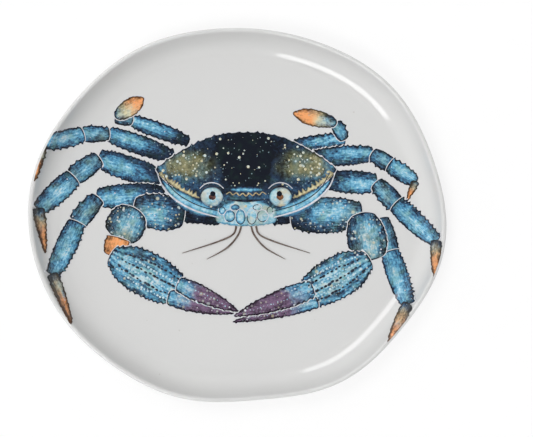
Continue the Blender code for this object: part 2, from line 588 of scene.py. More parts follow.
CHALK_LINES = (
    *mirrored_strokes(
        [
            Stroke(arc(EYE, (12, 11.4), 35, 110), 0.45),  # the rim of the eye's socket
            Stroke(arc((MIDDLE, 39), (73, 43), 186, 66), 0.8, 0.3, 0.5),  # the shell's front edge
        ]
        + [
            Stroke(arc(centre, (wide + 0.5, tall + 0.5), 50 * k, 200), 0.26)
            for k, (centre, (wide, tall), _) in enumerate(MOUTH_PLATES)
        ]
    ),
)
INK_LINES = (
    *mirrored_strokes(
        [Stroke(arc(EYE, (9.4, 8.4), 10, 160), 0.9), Stroke(arc((MIDDLE, 39), (68, 38), 190, 62), 0.4)]
        + [
            Stroke(arc(centre, radii, 50 * k + 180, 190), 0.3)
            for k, (centre, radii, _) in enumerate(MOUTH_PLATES)
        ]
    ),
    Stroke(((MIDDLE - 16, 12.6), (MIDDLE, 11.6), (MIDDLE + 16, 12.6)), 1.1),
)
FEELERS = mirrored_strokes(
    [
        Stroke(
            ((MIDDLE - 8, -9), (MIDDLE - 11, -16), (MIDDLE - 24, -22), (MIDDLE - 52, -31)), 0.7, 0.8, 0.25
        ),
        Stroke(
            ((MIDDLE - 4, -9), (MIDDLE - 7, -17), (MIDDLE - 16, -27), (MIDDLE - 32, -36)), 0.75, 0.7, 0.2
        ),
    ]
)


def zigzag(path, pitch, height):
    """A toothed line along a path of a few points."""
    line = smooth_line(np.array(path, float), 200)
    steps = np.linalg.norm(np.diff(line, axis=0), axis=1)
    along = np.concatenate(((0,), np.cumsum(steps)))
    count = max(2, int(along[-1] / pitch) * 2)
    teeth = []
    for k in range(count + 1):
        place = along[-1] * k / count
        point = np.array([np.interp(place, along, line[:, axis]) for axis in (0, 1)])
        ahead = np.array([np.interp(place + 0.5, along, line[:, axis]) for axis in (0, 1)])
        behind = np.array([np.interp(place - 0.5, along, line[:, axis]) for axis in (0, 1)])
        way = ahead - behind
        side = np.array((-way[1], way[0])) / max(np.linalg.norm(way), 1e-6)
        teeth.append(tuple(point + side * height * (1 if k % 2 else -1)))
    return tuple(teeth)


# Where the rows lie across a palm, as shares of its girth: beads and dashes take turns.
ROW_PLACES = (-0.68, -0.42, -0.16, 0.1, 0.36, 0.62)


def palm_rows(first, radius):
    """Every second row along each palm: where each starts and ends, its bow, and its dots' radius."""
    rows = []
    for palm in PALMS:
        root, tip = (np.array(point, float) for point in palm.joints)
        way = tip - root
        side = np.array((-way[1], way[0])) / np.linalg.norm(way) * palm.girth
        for place in ROW_PLACES[first::2]:
            start, end = root + 0.16 * way + 0.62 * place * side, root + 0.94 * way + 0.84 * place * side
            rows.append((tuple(start), tuple(end), 0.2 * place * palm.girth, radius))
    return rows


def finger_rows():
    """A row of beads along each finger."""
    rows = []
    for finger in FINGERS_LEFT + FINGERS_RIGHT:
        root, tip = (np.array(point, float) for point in finger.joints)
        rows.append((tuple(root + 0.12 * (tip - root)), tuple(root + 0.8 * (tip - root)), 1.0, 0.45))
    return rows


# ---------------------------------------------------------------------------------------------------------
# Turning patches into thin closed layers on the plate


def smooth_through(values, places):
    """A smooth curve through equally spaced values, read at places from 0 to 1."""
    values = np.asarray(values, float)
    if len(values) == 1:
        return np.full(len(places), values[0])
    padded = np.concatenate(((2 * values[0] - values[1],), values, (2 * values[-1] - values[-2],)))
    spot = np.clip(places, 0, 1) * (len(values) - 1)
    index = np.minimum(spot.astype(int), len(values) - 2)
    part = spot - index
    before, start, end, after = (padded[index + k] for k in range(4))
    return 0.5 * (
        2 * start
        + (end - before) * part
        + (2 * before - 5 * start + 4 * end - after) * part**2
        + (3 * start - before - 3 * end + after) * part**3
    )


def smooth_line(points, count):
    places = np.linspace(0, 1, count)
    return np.stack([smooth_through(points[:, axis], places) for axis in (0, 1)], axis=1)


def spike_line(along, height, pitch, chance):
    """How far spikes stand out along an edge: uneven thorns with a little brush roughness between them."""
    out = np.zeros_like(along)
    place = pitch * chance.uniform(0.2, 0.9)
    while height > 0 and place < along[-1] - 1.0:
        tall = height * chance.uniform(0.5, 1.2)
        broad = chance.uniform(0.7, 1.1)
        out = np.maximum(out, tall * np.exp(-(((along - place) / broad) ** 2)))
        place += pitch * chance.uniform(0.6, 1.4)
    return out


def rough_line(along, chance, size):
    """Small uneven swells, as a brush leaves along an edge."""
    rough = np.zeros_like(along)
    for wave in (1.3, 2.1, 3.7):
        rough += np.sin(along / wave * math.tau / 2.2 + chance.uniform(0, math.tau))
    return rough * size / 3


class Sheet:
    """Flat painted points, the faces between them, and the values that the paint reads."""

    def __init__(self):
        self.plan = []
        self.faces = []
        self.values = {name: [] for name in ("tone", "rim", "olive", "warm", "violet", "cream", "specks")}
        self.brush = []
        self.lift = []

    def add_grid(self, plan, brush, values, lift):
        """Adds one grid of points, rows by columns, with one lift for all of it."""
        rows, columns = plan.shape[:2]
        start = sum(len(part) for part in self.plan)
        index = start + np.arange(rows * columns).reshape(rows, columns)
        corners = (index[:-1, :-1], index[1:, :-1], index[1:, 1:], index[:-1, 1:])
        self.faces.append(np.stack([corner.ravel() for corner in corners], axis=1))
        self.plan.append(plan.reshape(-1, 2))
        self.brush.append(brush.reshape(-1, 2))
        self.lift.append(np.full(rows * columns, lift))
        for name, store in self.values.items():
            store.append(np.broadcast_to(values[name], (rows, columns)).ravel())


def patch_grid(patch, seed, step, grow=0.0):
    """A patch's points, its brush coordinates and its paint values. grow widens it, for the gap round it."""
    chance = random.Random(seed)
    root, tip = np.array(patch.root, float), np.array(patch.tip, float)
    way = tip - root
    span = np.linalg.norm(way)
    way /= span
    root, tip, span = root - way * grow, tip + way * grow, span + 2 * grow
    side = np.array((-way[1], way[0]))
    rows = max(10, math.ceil(span / step))
    part = np.linspace(0, 1, rows + 1)
    part = part - 0.09 * np.sin(math.tau * part)
    along = part * span
    spine = root + part[:, None] * span * way + (4 * part * (1 - part) * patch.bow)[:, None] * side
    heading = span * way + (4 * (1 - 2 * part) * patch.bow)[:, None] * side
    heading /= np.linalg.norm(heading, axis=1)[:, None]
    outward = np.stack((-heading[:, 1], heading[:, 0]), axis=1)

    round_root, round_tip = (end + grow for end in patch.ends)
    near_root = np.clip(along / round_root, 0, 1)
    near_tip = np.clip((span - along) / round_tip, 0, 1)
    cap = np.sqrt(1 - (1 - near_root) ** 2) * np.sqrt(1 - (1 - near_tip) ** 2)
    edges = []
    for widths, height in zip((patch.left, patch.right or patch.left), patch.spikes):
        width = smooth_through(widths, part) + grow
        width = width + spike_line(along, height, patch.pitch, chance) + rough_line(along, chance, 0.36)
        edges.append(np.maximum(width * cap, 0.08))

    columns = max(6, math.ceil(max(edges[0].max(), edges[1].max()) * 2 / step / 1.3))
    across = np.sin(np.linspace(-math.pi / 2, math.pi / 2, columns + 1))
    offset = np.where(across > 0, across * edges[0][:, None], across * edges[1][:, None])
    plan = spine[:, None, :] + offset[:, :, None] * outward[:, None, :]

    half = np.where(across > 0, edges[0][:, None], edges[1][:, None])
    rim = np.minimum(half * (1 - np.abs(across)), np.minimum(along, span - along)[:, None] + 0.05)
    light = np.exp(-(((across - patch.lean) / 0.62) ** 2))
    shading = 1 - patch.shade * (1 - light)
    strength, count = patch.bands
    fading = strength * (0.7 + 0.3 * np.sin(along / 5 + seed))[:, None]
    ripple = fading * np.cos(math.pi * count * (across + 0.12 * np.sin(along / 7)[:, None]))
    values = {
        "tone": smooth_through(patch.tone, part)[:, None] * shading + ripple,
        "rim": rim,
        "specks": np.full_like(rim, patch.specks),
    }
    for name in ("olive", "warm", "violet", "cream"):
        values[name] = np.clip(smooth_through(getattr(patch, name), part), 0, 1)[:, None] + 0 * rim
    brush = np.stack((along[:, None] + 0 * offset + 37 * seed, offset), axis=2)
    return plan, brush, values


def apply_washes(plan, values, washes):
    """Moves the paint values inside each soft oval towards the wash's amount."""
    for wash in washes:
        x = (plan[..., 0] - wash.centre[0]) / wash.radii[0]
        y = (plan[..., 1] - wash.centre[1]) / wash.radii[1]
        edge = np.clip((1.5 - np.hypot(x, y)) / 1.0, 0, 1)
        cover = wash.strength * edge**2 * (3 - 2 * edge)
        values[wash.value] = values[wash.value] * (1 - cover) + wash.amount * cover


# Patches that reach further from the middle than this climb the wall, and need a finer grid.
WALL_REACH = 130
WALL_GRID = 0.58
FINE_GRID = 0.45  # for small patches that lie on others with no gap between
STEEP_LIFT = 4  # how many times thicker the layers get as the glaze turns upright


class Painter:
    """Lays patches on the plate, each a little above the one before, and makes meshes of them."""

    def __init__(self, form, sizes):
        self.form = form
        self.sizes = sizes
        self.layer = 0
        self.seed = 0

    def next_lift(self):
        self.layer += 1
        return self.sizes.first_layer + self.layer * self.sizes.layer_step

    def sheets(self, patches, washes, first_layer):
        """The painted sheet for some patches, and the sheet of bare gaps round them."""
        painted, bare = Sheet(), Sheet()
        step = self.sizes.grid_step / MM
        for patch in patches:
            if patch.base or patch is patches[0]:
                self.layer = first_layer
            self.seed += 1
            seed = self.seed
            reach = max(math.hypot(*patch.root), math.hypot(*patch.tip))
            fine = step * (FINE_GRID if not patch.bare else WALL_GRID if reach > WALL_REACH else 1.0)
            if patch.bare:
                plan, brush, values = patch_grid(patch, seed, fine, self.sizes.gap / MM)
                bare.add_grid(plan, brush, values, self.next_lift())
            plan, brush, values = patch_grid(patch, seed, fine)
            apply_washes(plan, values, washes)
            painted.add_grid(plan, brush, values, self.next_lift())
        return painted, bare

    def lay(self, sheet, extra_lift=0.0):
        """The sheet's places on the glaze, the way the glaze faces there, and the raised points."""
        place, facing = self.form.seat(np.concatenate(sheet.plan) * MM)
        lift = np.concatenate(sheet.lift)[:, None] + extra_lift
        lift = lift * (1 + STEEP_LIFT * (1 - facing[:, 2:]))
        return place, facing, place + facing * lift

    def mesh(self, name, sheet):
        """A closed thin slab: the sheet laid on the glaze, the same sheet sunk in it, and sides between."""
        faces = np.concatenate(sheet.faces)
        place, facing, upper = self.lay(sheet)
        lower = place - facing * self.sizes.sunk
        edges = np.concatenate([faces[:, [k, (k + 1) % 4]] for k in range(4)])
        keys = np.sort(edges, axis=1)
        _, first, counts = np.unique(keys, axis=0, return_index=True, return_counts=True)
        border = edges[first[counts == 1]]
        count = len(upper)
        sides = np.stack((border[:, 1], border[:, 0], border[:, 0] + count, border[:, 1] + count), axis=1)
        whole = np.concatenate((faces, faces[:, ::-1] + count, sides))
        if flat_area(np.concatenate(sheet.plan), faces) < 0:
            whole = whole[:, ::-1]
        data = mesh_from_arrays(name, np.concatenate((upper, lower)), whole)
        for value, parts in sheet.values.items():
            store_value(data, value, np.tile(np.concatenate(parts), 2))
        store_brush(data, np.tile(np.concatenate(sheet.brush) / 100, (2, 1)))
        return data

    def top_mesh(self, name, sheet, extra_lift):
        """Only the upper side of a sheet, for scattering on."""
        faces = np.concatenate(sheet.faces)
        if flat_area(np.concatenate(sheet.plan), faces) < 0:
            faces = faces[:, ::-1]
        data = mesh_from_arrays(name, self.lay(sheet, extra_lift)[2], faces)
        for value, parts in sheet.values.items():
            store_value(data, value, np.concatenate(parts))
        return data


def flat_area(plan, faces):
    """Twice the area of the faces as seen from above: negative when they face down."""
    a, b, c, d = (plan[faces[:, k]] for k in range(4))
    first, second = c - a, d - b
    return float(np.sum(first[:, 0] * second[:, 1] - first[:, 1] * second[:, 0]))


def mesh_from_arrays(name, points, faces):
    data = bpy.data.meshes.new(name)
    data.from_pydata(points.tolist(), [], faces.tolist())
    data.update()
    data.shade_smooth()
    data.set_sharp_from_angle(angle=math.radians(50))
    return data


def store_value(data, name, values):
    attribute = data.attributes.new(name, "FLOAT", "POINT")
    attribute.data.foreach_set("value", values.astype(np.float32))


def store_brush(data, places):
    """The brush coordinates, as a UV map: along the patch and across it, in tenths of a metre."""
    layer = data.uv_layers.new(name="brush")
    corner_points = np.zeros(len(data.loops), np.int32)
    data.loops.foreach_get("vertex_index", corner_points)
    layer.uv.foreach_set("vector", places[corner_points].astype(np.float32).ravel())


# ---------------------------------------------------------------------------------------------------------
# Node trees


def wire(tree, kind, inputs=None, **settings):
    """Adds a node, sets its settings, and fills or links its inputs by name or number."""
    node = tree.nodes.new(kind)
    for name, value in settings.items():
        setattr(node, name, value)
    for key, value in (inputs or {}).items():
        if isinstance(value, bpy.types.NodeSocket):
            tree.links.new(value, node.inputs[key])
        else:
            node.inputs[key].default_value = value
    return node


def maths(tree, operation, first, second=0.0, third=0.0, clamp=False):
    inputs = {0: first, 1: second, 2: third}
    return wire(tree, "ShaderNodeMath", inputs, operation=operation, use_clamp=clamp).outputs[0]


def vector_maths(tree, operation, first, second):
    key = "Scale" if operation == "SCALE" else 1
    return wire(tree, "ShaderNodeVectorMath", {0: first, key: second}, operation=operation).outputs[0]


def ramp_between(tree, value, low, high, low_result=0.0, high_result=1.0):
    """A smooth step from low_result to high_result as the value goes from low to high."""
    inputs = {
        "Value": value,
        "From Min": low,
        "From Max": high,
        "To Min": low_result,
        "To Max": high_result,
    }
    return wire(tree, "ShaderNodeMapRange", inputs, interpolation_type="SMOOTHSTEP").outputs["Result"]


def geometry_tree(name, inputs):
    """A geometry node tree with named inputs. Returns it with its input and output nodes."""
    tree = bpy.data.node_groups.new(name, "GeometryNodeTree")
    tree.interface.new_socket("Geometry", in_out="INPUT", socket_type="NodeSocketGeometry")
    for label, kind in inputs:
        tree.interface.new_socket(label, in_out="INPUT", socket_type=kind)
    tree.interface.new_socket("Geometry", in_out="OUTPUT", socket_type="NodeSocketGeometry")
    given = tree.nodes.new("NodeGroupInput")
    result = tree.nodes.new("NodeGroupOutput")
    return tree, given, result


def finish_tree(tree, geometry, material, result):
    """Ends a tree as every one ends: instances made real, then the material."""
    real = wire(tree, "GeometryNodeRealizeInstances", {"Geometry": geometry})
    painted = wire(tree, "GeometryNodeSetMaterial", {"Geometry": real.outputs[0], "Material": material})
    tree.links.new(painted.outputs[0], result.inputs[0])


def grow_piece(name, host, tree, values):
    """Runs a tree on a host mesh and returns the result as a plain piece at the origin."""
    carrier = bpy.data.objects.new(name + "_host", host)
    bpy.context.scene.collection.objects.link(carrier)
    modifier = carrier.modifiers.new("grow", "NODES")
    modifier.node_group = tree
    sockets = {
        item.name: item.identifier
        for item in tree.interface.items_tree
        if item.item_type == "SOCKET" and item.in_out == "INPUT"
    }
    for label, value in values.items():
        modifier[sockets[label]] = value
    bpy.context.view_layer.update()
    seen = carrier.evaluated_get(bpy.context.evaluated_depsgraph_get())
    data = bpy.data.meshes.new_from_object(seen)
    data.name = name
    carrier.modifiers.remove(modifier)
    bpy.data.objects.remove(carrier)
    if not data.polygons:
        raise RuntimeError(f"the tree {tree.name} grew nothing for {name}")
    return place_piece(name, data)


def place_piece(name, data, material=None):
    piece = bpy.data.objects.new(name, data)
    if material is not None:
        data.materials.append(material)
    bpy.context.scene.collection.objects.link(piece)
    return piece


def plate_tree():
    """A grid, rounded into a ring of section lines, each moved in or out by the edge's lobes."""
    inputs = [
        ("Section", "NodeSocketObject"),
        ("Section Points", "NodeSocketInt"),
        ("Steps Around", "NodeSocketInt"),
        ("Mean Radius", "NodeSocketFloat"),
        ("Middle X", "NodeSocketFloat"),
        ("Middle Y", "NodeSocketFloat"),
        ("Weld Distance", "NodeSocketFloat"),
        ("Glaze", "NodeSocketMaterial"),
    ]
    for count, _, _ in EDGE_LOBES:
        inputs.append((f"Lobe {count} Height", "NodeSocketFloat"))
        inputs.append((f"Lobe {count} Crest", "NodeSocketFloat"))
    tree, given, result = geometry_tree("plate_from_section", inputs)
    take = given.outputs
    around = maths(tree, "ADD", take["Steps Around"], 1)
    grid = wire(
        tree,
        "GeometryNodeMeshGrid",
        {"Vertices X": around, "Vertices Y": take["Section Points"]},
    )
    part = wire(tree, "ShaderNodeSeparateXYZ", {0: grid.outputs["UV Map"]})
    angle = maths(tree, "MULTIPLY", part.outputs["X"], math.tau)
    last = maths(tree, "SUBTRACT", take["Section Points"], 1)
    row = maths(tree, "ROUND", maths(tree, "MULTIPLY", part.outputs["Y"], last))
    section = wire(tree, "GeometryNodeObjectInfo", {"Object": take["Section"]})
    position = wire(tree, "GeometryNodeInputPosition")
    sampled = wire(
        tree,
        "GeometryNodeSampleIndex",
        {"Geometry": section.outputs["Geometry"], "Value": position.outputs[0], "Index": row},
        data_type="FLOAT_VECTOR",
    )
    profile = wire(tree, "ShaderNodeSeparateXYZ", {0: sampled.outputs[0]})
    swell = 0.0
    for count, _, _ in EDGE_LOBES:
        turned = maths(tree, "SUBTRACT", angle, take[f"Lobe {count} Crest"])
        wave = maths(tree, "COSINE", maths(tree, "MULTIPLY", turned, count))
        swell = maths(tree, "MULTIPLY_ADD", wave, take[f"Lobe {count} Height"], swell)
    scale = maths(tree, "ADD", maths(tree, "DIVIDE", swell, take["Mean Radius"]), 1)
    reach = maths(tree, "MULTIPLY", profile.outputs["X"], scale)
    across = maths(tree, "MULTIPLY_ADD", reach, maths(tree, "COSINE", angle), take["Middle X"])
    along = maths(tree, "MULTIPLY_ADD", reach, maths(tree, "SINE", angle), take["Middle Y"])
    placed = wire(tree, "ShaderNodeCombineXYZ", {"X": across, "Y": along, "Z": profile.outputs["Z"]})
    moved = wire(
        tree,
        "GeometryNodeSetPosition",
        {"Geometry": grid.outputs["Mesh"], "Position": placed.outputs[0]},
    )
    welded = wire(
        tree,
        "GeometryNodeMergeByDistance",
        {"Geometry": moved.outputs[0], "Distance": take["Weld Distance"]},
    )
    smooth = wire(tree, "GeometryNodeSetShadeSmooth", {"Geometry": welded.outputs[0]})
    finish_tree(tree, smooth.outputs[0], take["Glaze"], result)
    return tree


# How far beads stray from their row, and how high above the plate lines start before they are laid on it.
BEAD_STRAY = 0.6 * MM
DROP_HEIGHT = 60 * MM


def drape(tree, curve, plate, lift):
    """Lowers points onto the plate. Returns them with the field of the way that the glaze faces."""
    start = wire(tree, "GeometryNodeInputPosition")
    raised = vector_maths(tree, "ADD", start.outputs[0], (0.0, 0.0, DROP_HEIGHT))
    plate_mesh = wire(tree, "GeometryNodeObjectInfo", {"Object": plate})
    ray = wire(
        tree,
        "GeometryNodeRaycast",
        {
            "Target Geometry": plate_mesh.outputs["Geometry"],
            "Source Position": raised,
            "Ray Direction": (0.0, 0.0, -1.0),
            "Ray Length": 1.0,
        },
    )
    off = vector_maths(tree, "SCALE", ray.outputs["Hit Normal"], lift)
    target = vector_maths(tree, "ADD", ray.outputs["Hit Position"], off)
    moved = wire(
        tree,
        "GeometryNodeSetPosition",
        {"Geometry": curve, "Selection": ray.outputs["Is Hit"], "Position": target},
    )
    return moved.outputs[0], ray.outputs["Hit Normal"]


def named_float(tree, name):
    inputs = {"Name": name}
    return wire(tree, "GeometryNodeInputNamedAttribute", inputs, data_type="FLOAT").outputs[0]


def stroke_tree():
    """Brush lines: smooth curves through the host's points, laid on the plate and given a low round body."""
    inputs = [
        ("Plate", "NodeSocketObject"),
        ("Lift", "NodeSocketFloat"),
        ("Step", "NodeSocketFloat"),
        ("Flatness", "NodeSocketFloat"),
        ("Paint", "NodeSocketMaterial"),
    ]
    tree, given, result = geometry_tree("brush_lines", inputs)
    take = given.outputs
    curve = wire(tree, "GeometryNodeMeshToCurve", {"Mesh": take["Geometry"]})
    smooth = wire(
        tree, "GeometryNodeCurveSplineType", {"Curve": curve.outputs[0]}, spline_type="CATMULL_ROM"
    )
    inputs = {"Curve": smooth.outputs[0], "Length": take["Step"]}
    spaced = wire(tree, "GeometryNodeResampleCurve", inputs, mode="LENGTH")
    laid, facing = drape(tree, spaced.outputs[0], take["Plate"], take["Lift"])
    normal = wire(tree, "GeometryNodeSetCurveNormal", {"Curve": laid, "Normal": facing}, mode="FREE")
    inputs = {"Resolution": 8, "Radius": 1.0}
    ring = wire(tree, "GeometryNodeCurvePrimitiveCircle", inputs, mode="RADIUS")
    low = wire(tree, "ShaderNodeCombineXYZ", {"X": take["Flatness"], "Y": 1.0, "Z": 1.0})
    inputs = {"Geometry": ring.outputs[0], "Scale": low.outputs[0]}
    flat = wire(tree, "GeometryNodeTransform", inputs)
    inputs = {
        "Curve": normal.outputs[0],
        "Profile Curve": flat.outputs[0],
        "Scale": named_float(tree, "half_width"),
        "Fill Caps": True,
    }
    body = wire(tree, "GeometryNodeCurveToMesh", inputs)
    shaded = wire(tree, "GeometryNodeSetShadeSmooth", {"Geometry": body.outputs[0]})
    finish_tree(tree, shaded.outputs[0], take["Paint"], result)
    return tree


def random_between(tree, low, high, seed):
    inputs = {2: low, 3: high, "Seed": seed}
    return wire(tree, "FunctionNodeRandomValue", inputs, data_type="FLOAT").outputs[1]


def set_dots(tree, points, rotation, size, stretch, flatness):
    """Low round dots on points, each its own size, stretched one way and flattened another."""
    dot = wire(tree, "GeometryNodeMeshIcoSphere", {"Radius": 1.0, "Subdivisions": 2})
    long, low = maths(tree, "MULTIPLY", size, stretch), maths(tree, "MULTIPLY", size, flatness)
    scale = wire(tree, "ShaderNodeCombineXYZ", {"X": long, "Y": size, "Z": low})
    inputs = {"Points": points, "Instance": dot.outputs[0], "Rotation": rotation, "Scale": scale.outputs[0]}
    dots = wire(tree, "GeometryNodeInstanceOnPoints", inputs)
    real = wire(tree, "GeometryNodeRealizeInstances", {"Geometry": dots.outputs[0]})
    return wire(tree, "GeometryNodeSetShadeSmooth", {"Geometry": real.outputs[0]}).outputs[0]


def bead_tree():
    """Rows of low round dots along the host's lines, uneven in size."""
    inputs = [
        ("Plate", "NodeSocketObject"),
        ("Lift", "NodeSocketFloat"),
        ("Spacing", "NodeSocketFloat"),
        ("Flatness", "NodeSocketFloat"),
        ("Length", "NodeSocketFloat"),
        ("Seed", "NodeSocketInt"),
        ("Paint", "NodeSocketMaterial"),
    ]
    tree, given, result = geometry_tree("bead_rows", inputs)
    take = given.outputs
    curve = wire(tree, "GeometryNodeMeshToCurve", {"Mesh": take["Geometry"]})
    inputs = {"Curve": curve.outputs[0], "Length": take["Spacing"]}
    spaced = wire(tree, "GeometryNodeResampleCurve", inputs, mode="LENGTH")
    inputs = {0: (-BEAD_STRAY, -BEAD_STRAY, 0.0), 1: (BEAD_STRAY, BEAD_STRAY, 0.0), "Seed": take["Seed"]}
    jitter = wire(tree, "FunctionNodeRandomValue", inputs, data_type="FLOAT_VECTOR")
    inputs = {"Geometry": spaced.outputs[0], "Offset": jitter.outputs[0]}
    shifted = wire(tree, "GeometryNodeSetPosition", inputs)
    laid, facing = drape(tree, shifted.outputs[0], take["Plate"], take["Lift"])
    tangent = wire(tree, "GeometryNodeInputTangent")
    upright = wire(tree, "FunctionNodeAlignRotationToVector", {"Vector": facing}, axis="Z")
    inputs = {"Rotation": upright.outputs[0], "Vector": tangent.outputs[0]}
    along = wire(tree, "FunctionNodeAlignRotationToVector", inputs, axis="X", pivot_axis="Z")
    uneven = random_between(tree, 0.55, 1.25, take["Seed"])
    size = maths(tree, "MULTIPLY", uneven, named_float(tree, "half_width"))
    dots = set_dots(tree, laid, along.outputs[0], size, take["Length"], take["Flatness"])
    finish_tree(tree, dots, take["Paint"], result)
    return tree


def speck_tree():
    """Small round flecks scattered on painted faces, thicker where the paint says so, clear of its edges."""
    inputs = [
        ("Density", "NodeSocketFloat"),
        ("Closest", "NodeSocketFloat"),
        ("Smallest", "NodeSocketFloat"),
        ("Largest", "NodeSocketFloat"),
        ("Edge Clearance", "NodeSocketFloat"),
        ("Flatness", "NodeSocketFloat"),
        ("Seed", "NodeSocketInt"),
        ("Paint", "NodeSocketMaterial"),
    ]
    tree, given, result = geometry_tree("scattered_specks", inputs)
    take = given.outputs
    inputs = {0: named_float(tree, "rim"), 1: take["Edge Clearance"]}
    inside = wire(tree, "FunctionNodeCompare", inputs, data_type="FLOAT", operation="GREATER_THAN")
    inputs = {
        "Mesh": take["Geometry"],
        "Selection": inside.outputs[0],
        "Distance Min": take["Closest"],
        "Density Max": take["Density"],
        "Density Factor": maths(tree, "MULTIPLY", named_float(tree, "specks"), 1.0, clamp=True),
        "Seed": take["Seed"],
    }
    points = wire(tree, "GeometryNodeDistributePointsOnFaces", inputs, distribute_method="POISSON")
    skewed = maths(tree, "POWER", random_between(tree, 0.0, 1.0, take["Seed"]), 2.2)
    spread = maths(tree, "SUBTRACT", take["Largest"], take["Smallest"])
    size = maths(tree, "MULTIPLY_ADD", skewed, spread, take["Smallest"])
    places, rotation = points.outputs["Points"], points.outputs["Rotation"]
    dots = set_dots(tree, places, rotation, size, 1.0, take["Flatness"])
    finish_tree(tree, dots, take["Paint"], result)
    return tree


# ---------------------------------------------------------------------------------------------------------
# Materials


def shader_group(name, inputs, outputs):
    """A shader node group with named float, vector or colour sockets."""
    group = bpy.data.node_groups.new(name, "ShaderNodeTree")
    for label, kind in inputs:
        group.interface.new_socket(label, in_out="INPUT", socket_type="NodeSocket" + kind)
    for label, kind in outputs:
        group.interface.new_socket(label, in_out="OUTPUT", socket_type="NodeSocket" + kind)
    return group, group.nodes.new("NodeGroupInput"), group.nodes.new("NodeGroupOutput")


def mix_colour(tree, amount, first, second):
    """A mix of two colours, each a socket or three plain values."""
    inputs = {0: amount}
    for key, value in ((6, first), (7, second)):
        inputs[key] = value if isinstance(value, bpy.types.NodeSocket) else (*value, 1.0)
    return wire(tree, "ShaderNodeMix", inputs, data_type="RGBA").outputs[2]


def noise(tree, vector, scale, detail=3.0, roughness=0.55):
    inputs = {"Vector": vector, "Scale": scale, "Detail": detail, "Roughness": roughness}
    return wire(tree, "ShaderNodeTexNoise", inputs).outputs["Fac"]


def hand_glaze_group():
    """Shared by every glazed surface: the slow swells that a hand-made surface gives the highlights."""
    group, given, result = shader_group(
        "hand_made_surface",
        [("Place", "Vector"), ("Swell Scale", "Float"), ("Ripple Scale", "Float")],
        [("Height", "Float")],
    )
    swell = noise(group, given.outputs["Place"], given.outputs["Swell Scale"], 1.0)
    ripple = noise(group, given.outputs["Place"], given.outputs["Ripple Scale"], 2.0)
    height = maths(group, "MULTIPLY_ADD", ripple, 0.12, swell)
    group.links.new(height, result.inputs["Height"])
    return group


def colour_ramp(tree, value, stops):
    ramp = wire(tree, "ShaderNodeValToRGB", {0: value})
    elements = ramp.color_ramp.elements
    while len(elements) < len(stops):
        elements.new(0.5)
    for element, (place, shade) in zip(elements, stops):
        element.position = place
        element.color = (*shade, 1.0)
    return ramp.outputs["Color"]


